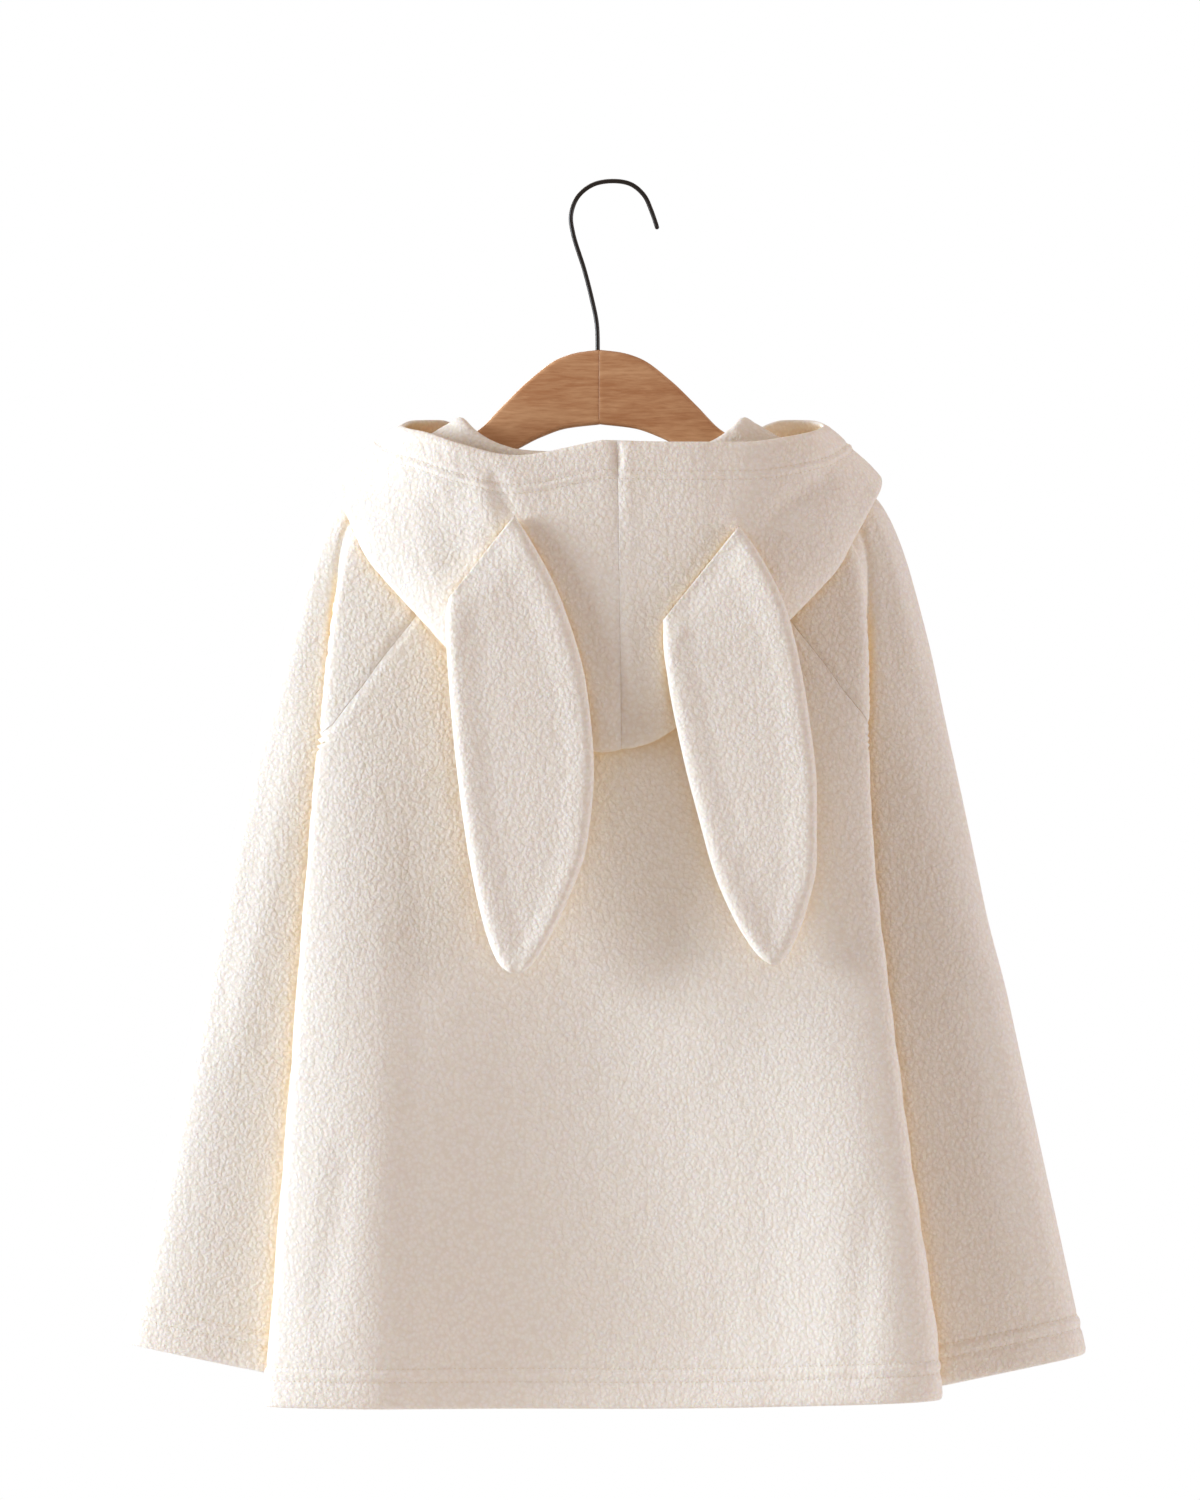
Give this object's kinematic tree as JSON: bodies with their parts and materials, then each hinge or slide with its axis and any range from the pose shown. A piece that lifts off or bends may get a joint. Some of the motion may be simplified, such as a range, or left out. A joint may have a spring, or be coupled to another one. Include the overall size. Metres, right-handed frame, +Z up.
{
  "type": "hooded fleece pullover with rabbit ears on a wooden hanger",
  "caption": "Child's raglan pullover of lamb fleece, its hood with two long rabbit ears lying down the back, hanging flat on a wooden hanger with a wire hook.",
  "frame": {"origin": "inside top of the hook's crown, where a rail or peg holds the hanger", "axes": "+Z up along the hanging length, +Y from the garment's back to its front, +X towards the wearer's right side"},
  "size_m": [0.5781, 0.1259, 0.7357],
  "materials": {
    "fleece": "cream lamb fleece, short curled pile",
    "beech": "light brown, clear satin varnish",
    "black_wire": "black, satin"
  },
  "bodies": {
    "root": {"back": "fleece", "front": "fleece", "sleeve_left": "fleece", "sleeve_right": "fleece", "hood_left": "fleece", "hood_right": "fleece", "ear_left_outer": "fleece", "ear_left_under": "fleece", "ear_right_outer": "fleece", "ear_right_under": "fleece", "hanger_bar_left": "beech", "hanger_bar_right": "beech", "hanger_hook": "black_wire"}
  },
  "joints": []
}
